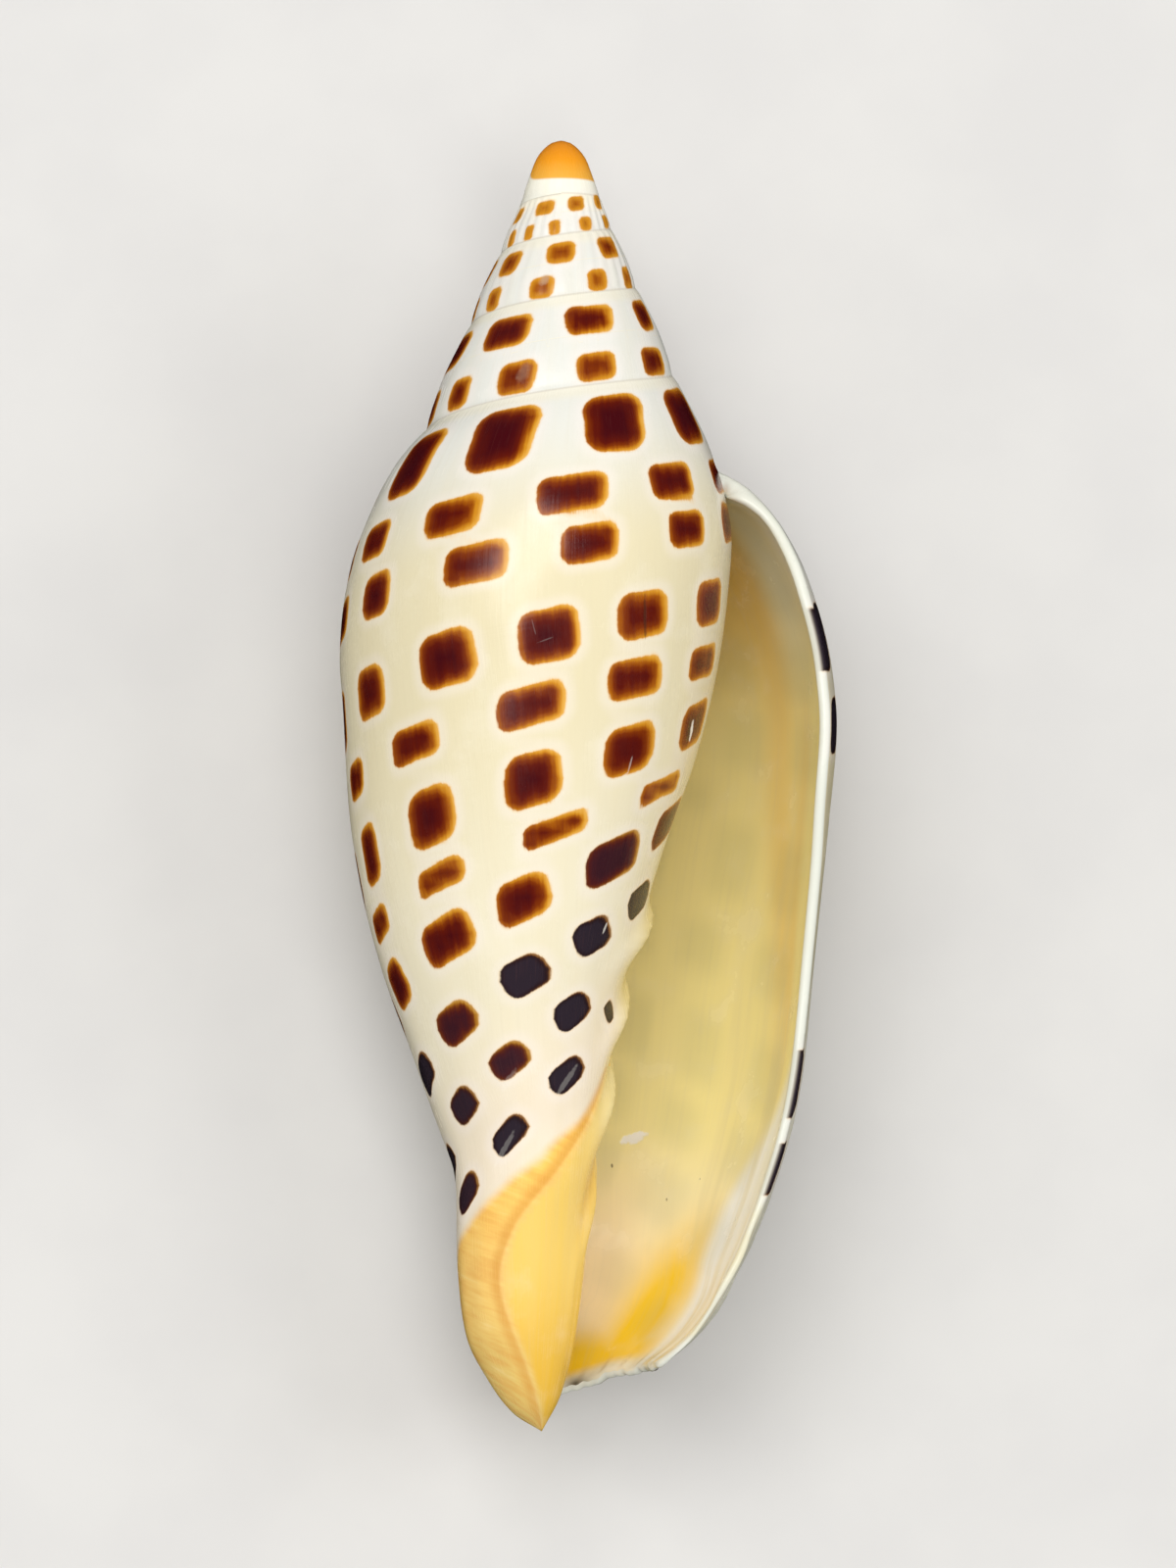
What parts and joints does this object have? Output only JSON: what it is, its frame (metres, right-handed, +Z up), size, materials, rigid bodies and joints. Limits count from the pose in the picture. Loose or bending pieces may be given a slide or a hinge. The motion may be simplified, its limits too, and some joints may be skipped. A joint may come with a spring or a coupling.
{
  "type": "volute shell",
  "caption": "Spindle-shaped volute shell lying on its back: short blunt spire, one large last whorl, a long open aperture, a folded columella and a notch at the base.",
  "frame": {"origin": "On the ground under the middle of the shell's bounding box, as it lies on its back.", "axes": "+Y points from the basal notch to the apex, along the coiling axis. +Z is up, out of the aperture. +X points from the columella to the outer lip."},
  "size_m": [0.0398, 0.1048, 0.035],
  "materials": {
    "shell": "glossy ivory-white shell with rows of dark maroon-brown rounded-square spots, an orange apex, an orange-yellow band round the base and a pale cream inside"
  },
  "bodies": {
    "root": {"shell": "shell"}
  },
  "joints": []
}
